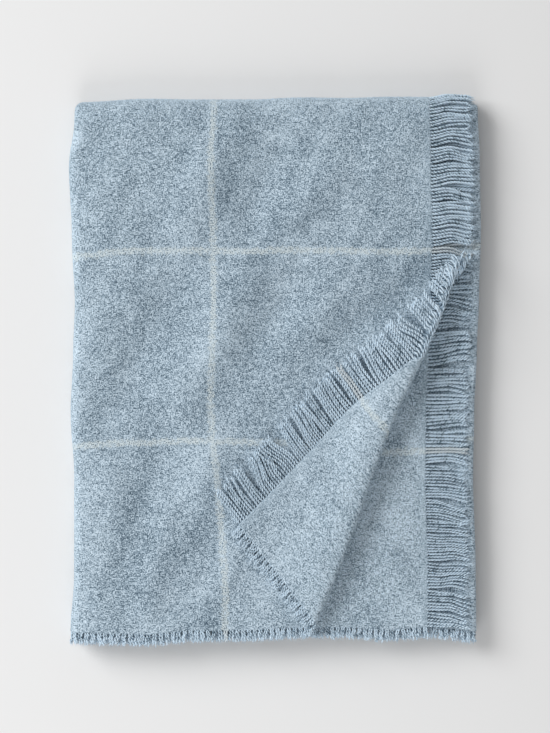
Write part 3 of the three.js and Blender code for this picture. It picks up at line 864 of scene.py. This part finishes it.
# The short fringe
# Along both long sides the weft yarns stand out about 13 mm past the weave. They leave it in pairs,
# soft and crimped, and each curls a little its own way.
PAIR_PITCH = 6.4
PAIR_GAP = 2.5
SHORT_YARN_COUNT = 2 * round(CLOTH_LENGTH / PAIR_PITCH)
SHORT_YARN = {
    "length": 14.5, "uneven": 1.5, "sides": 3, "off_axis": 0.70, "girth": 0.92, "half_turns": 4,
    "rings": 12,
}
SHORT_WISP = {
    "count": 3, "length": 4.0, "girth": 0.28, "rings": 2, "leaves": (0.75, 0.95), "aside": 1.8,
    "rise": 0.2, "rise_spread": 0.9,
}
SHORT_WAY = {"pair_lean": 1.0, "own_lean": 0.45, "curl_up": 1.0}
CRIMP = {"from": 0.0, "over": 0.4, "least": 0.3, "most": 0.9, "waves": 1.6}
SHORT_TAPER = {"from": 0.7, "over": 0.3, "amount": 0.4}
CREAM_PAIRS = {"reach": 0.5, "from_ends": 2}
SHORT_SHADES = (-0.45, 0.35)
# How much of the yarn's painted side shade the short fringe has.
SHORT_SIDE_SHADE = 0.5


def short_fringe(name, past_edge, seed):
    rng = np.random.default_rng(seed)
    yarn_mesh, part = yarn_with_wisps(SHORT_YARN, SHORT_WISP)
    count = SHORT_YARN_COUNT
    mesh = row_of(yarn_mesh, count, name)
    across, thick, rise = np.broadcast_to(points_of(yarn_mesh).T[:, None], (3, count, len(part)))
    is_wisp = part > 0

    pair = np.arange(count) // 2
    second = np.arange(count) % 2
    place = (pair + 0.5) * CLOTH_LENGTH / (count // 2) + (second - 0.5) * PAIR_GAP
    reach = SHORT_YARN["length"] + SHORT_YARN["uneven"] * rng.uniform(-1, 1, count)
    pair_lean = np.repeat(rng.normal(0, SHORT_WAY["pair_lean"], count // 2), 2)
    own_lean = rng.normal(0, SHORT_WAY["own_lean"], count)
    crimp = np.repeat(rng.uniform(CRIMP["least"], CRIMP["most"], count // 2), 2)
    crimp_phase = np.repeat(rng.uniform(0, 2 * math.pi, count // 2), 2)
    curl_up = rng.normal(0, SHORT_WAY["curl_up"], count)
    roll = rng.uniform(0, 2 * math.pi, count)

    wisp_start, wisp_side, wisp_rise = loose_tips(rng, count, part, SHORT_WISP)
    along = np.where(is_wisp, wisp_start + rise * SHORT_WISP["length"] / reach[:, None], rise)
    yarn_girth = 1 - SHORT_TAPER["amount"] * grown(rise, SHORT_TAPER)
    section_s, section_up = laid_section(across, thick, rise, roll, is_wisp, yarn_girth)

    bend = eased(along)
    wave = np.sin(2 * math.pi * CRIMP["waves"] * along + crimp_phase[:, None]) * grown(along, CRIMP)
    s = place[:, None] + (pair_lean + own_lean)[:, None] * bend + crimp[:, None] * wave + section_s
    s = s + np.where(is_wisp, wisp_side * rise ** WISP_CURL, 0)
    up = curl_up[:, None] * bend ** 2 + section_up
    up = up + np.where(is_wisp, wisp_rise * rise ** WISP_CURL, 0)
    out = reach[:, None] * along - ROOT_IN_CLOTH

    cream = on_check_line(place, CLOTH_LENGTH, CHECK_SPACING[0] / MM, PAIR_PITCH, CREAM_PAIRS)
    # Painted shade in the groove between the plies.
    painted_groove_shade = groove_shade_depth(across, thick, SHORT_YARN) * ~is_wisp
    # Painted shade on the yarn's sides, between neighbouring yarns, weaker on the short fringe.
    side = np.where(is_wisp, 0, SHORT_SIDE_SHADE * yarn_side_shade(section_s, SHORT_YARN))
    shade = rng.uniform(*SHORT_SHADES, count)
    marks = yarn_marks(shade, cream, along, painted_groove_shade, side)
    return folded_piece(name, mesh, s.ravel(), past_edge(out).ravel(), up.ravel(), marks)


upper_fringe = short_fringe("short_fringe_upper_side", lambda out: -out, 21)
lower_fringe = short_fringe("short_fringe_lower_side", lambda out: CLOTH_WIDTH + out, 22)
for fringe, node in ((upper_fringe, "short_fringe_upper"), (lower_fringe, "short_fringe_lower")):
    fringe.data.materials.append(yarn_finish)
    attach(fringe, "root")
    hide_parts(node)


# The nap
# Brushing has raised short loose fibres on the cloth. They are made where the cloth shows, lie
# nearly flat, and have the yarn's finish in the tone that it has towards a worn tip, with a fixed part
# of its painted side shade.
NAP_COUNT = 32000
NAP_FIBRE = {"length": 3.6, "uneven": 0.5, "girth": 0.13, "least_rise": 0.1, "most_rise": 1.0}
NAP_CURL = 0.7
NAP_FROM_EDGE = 0.2
# The nap takes a fixed part of the yarn's painted side shade, which darkens all its fibres evenly.
NAP_TONE = {"tip": 0.9, "side": 0.3}
LEFT_TURN_END = RUNS[1]["begin"] + RUNS[1]["length"]
RIGHT_TURN = RUNS[3]
NAP_AREAS = [
    {"share": 0.52, "a": (0, LEFT_TURN_END), "b": (0, HALF_DEPTH + BACK_TURN), "face": 1},
    {"share": 0.12, "a": (0, 160), "b": (0, 330), "face": 0},
    {"share": 0.10, "a": (RUNS[1]["begin"] - 12, LEFT_TURN_END), "b": (0, CLOTH_WIDTH), "face": 1},
    {"share": 0.10, "a": (RIGHT_TURN["begin"] - 4, RIGHT_TURN["begin"] + RIGHT_TURN["length"] + 8),
     "b": (0, CLOTH_WIDTH), "face": 1},
    {"share": 0.08, "a": (CLOTH_LENGTH - 190, CLOTH_LENGTH), "b": (0, 330), "face": 0},
    {"share": 0.08, "a": (0, LEFT_TURN_END), "b": (HALF_DEPTH - 8, HALF_DEPTH + BACK_TURN), "face": 1},
]


def one_fibre():
    """A pointed fibre one unit long and round."""
    fibre = bmesh.new()
    bmesh.ops.create_cone(
        fibre, cap_ends=True, segments=3, radius1=1, radius2=0, depth=1,
        matrix=Matrix.Translation((0, 0, 0.5)))
    bmesh.ops.remove_doubles(fibre, verts=fibre.verts[:], dist=0.001)
    bmesh.ops.recalc_face_normals(fibre, faces=fibre.faces[:])
    mesh = bpy.data.meshes.new("one_fibre")
    fibre.to_mesh(mesh)
    fibre.free()
    return mesh


def raised_nap(name, seed):
    rng = np.random.default_rng(seed)
    count = NAP_COUNT
    mesh = row_of(one_fibre(), count, name)
    across, thick, rise = points_of(mesh).T.reshape(3, count, -1)

    area = rng.choice(len(NAP_AREAS), count, p=[area["share"] for area in NAP_AREAS])
    spot = rng.uniform(0, 1, (2, count))
    edges = {key: np.array([area[key] for area in NAP_AREAS])[area] for key in ("a", "b")}
    a = edges["a"][:, 0] + spot[0] * (edges["a"][:, 1] - edges["a"][:, 0])
    b = edges["b"][:, 0] + spot[1] * (edges["b"][:, 1] - edges["b"][:, 0])
    outward = np.where(np.array([area["face"] for area in NAP_AREAS])[area] == 1, 1, -1)
    turned = rng.uniform(0, 2 * math.pi, count)
    length = NAP_FIBRE["length"] * (1 + NAP_FIBRE["uneven"] * rng.uniform(-1, 1, count))
    lift = rng.uniform(NAP_FIBRE["least_rise"], NAP_FIBRE["most_rise"], count)
    shade = rng.uniform(0, 1, count)

    along = (rise * length[:, None]) - length[:, None] / 2
    aside = across * NAP_FIBRE["girth"]
    c, s = np.cos(turned)[:, None], np.sin(turned)[:, None]
    fibre_a = a[:, None] + along * c - aside * s
    fibre_a = np.clip(fibre_a, NAP_FROM_EDGE, CLOTH_LENGTH - NAP_FROM_EDGE)
    fibre_b = b[:, None] + along * s + aside * c
    fibre_b = np.clip(fibre_b, NAP_FROM_EDGE, CLOTH_WIDTH - NAP_FROM_EDGE)
    surface = HALF_THICKNESS * edge_fullness(fibre_a, fibre_b)
    off = surface + lift[:, None] * rise ** NAP_CURL + thick * NAP_FIBRE["girth"]
    offset = off * outward[:, None]
    marks = yarn_marks(
        shade, np.zeros(count), np.full(rise.shape, NAP_TONE["tip"]), 0.0, NAP_TONE["side"])
    return folded_piece(name, mesh, fibre_a.ravel(), fibre_b.ravel(), offset.ravel(), marks)


nap = raised_nap("brushed_nap", 31)
nap.data.materials.append(yarn_finish)
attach(nap, "root")


# The studio
# A plain pale floor, one large soft light from the upper left, a weak one from the front, even
# light all round, and a camera straight above.
CAMERA_LENS = 100.0
CAMERA_SENSOR = 36.0
CAMERA_HEIGHT = 2.382
AIM = (0.0012, 0.0035)
FLOOR_SIZE = 4.0
FLOOR_TONE = 0.80
AROUND_STRENGTH = 0.33

floor_shape = bmesh.new()
bmesh.ops.create_grid(floor_shape, x_segments=1, y_segments=1, size=FLOOR_SIZE)
floor_mesh = bpy.data.meshes.new("studio_floor")
floor_shape.to_mesh(floor_mesh)
floor_shape.free()
floor = bpy.data.objects.new("studio_floor", floor_mesh)
bpy.context.scene.collection.objects.link(floor)
floor_finish, floor_shader = new_finish("pale_floor", 0.9, 0.0)
floor_shader.inputs["Base Color"].default_value = (FLOOR_TONE, FLOOR_TONE, FLOOR_TONE, 1)
floor_mesh.materials.append(floor_finish)

world = bpy.data.worlds.new("studio")
world.use_nodes = True
world.node_tree.nodes["Background"].inputs["Color"].default_value = (1.0, 1.0, 1.0, 1)
world.node_tree.nodes["Background"].inputs["Strength"].default_value = AROUND_STRENGTH
bpy.context.scene.world = world

LIGHTS = [
    {"name": "left_softbox", "place": (-3.1, 1.75, 2.8), "size": 2.6, "energy": 172},
    {"name": "front_fill", "place": (-0.4, -2.2, 1.6), "size": 1.6, "energy": 25},
]
for light in LIGHTS:
    lamp_data = bpy.data.lights.new(light["name"], "AREA")
    lamp_data.shape = "SQUARE"
    lamp_data.size = light["size"]
    lamp_data.energy = light["energy"]
    lamp = bpy.data.objects.new(light["name"], lamp_data)
    lamp.location = light["place"]
    lamp.rotation_mode = "QUATERNION"
    lamp.rotation_quaternion = lamp.location.to_track_quat("Z", "Y")
    bpy.context.scene.collection.objects.link(lamp)

camera_data = bpy.data.cameras.new("straight_above")
camera_data.lens = CAMERA_LENS
camera_data.sensor_width = CAMERA_SENSOR
camera = bpy.data.objects.new("straight_above", camera_data)
camera.location = (*AIM, TOP_LAYER * MM + CAMERA_HEIGHT)
bpy.context.scene.collection.objects.link(camera)
bpy.context.scene.camera = camera
bpy.context.scene.view_settings.view_transform = "Standard"
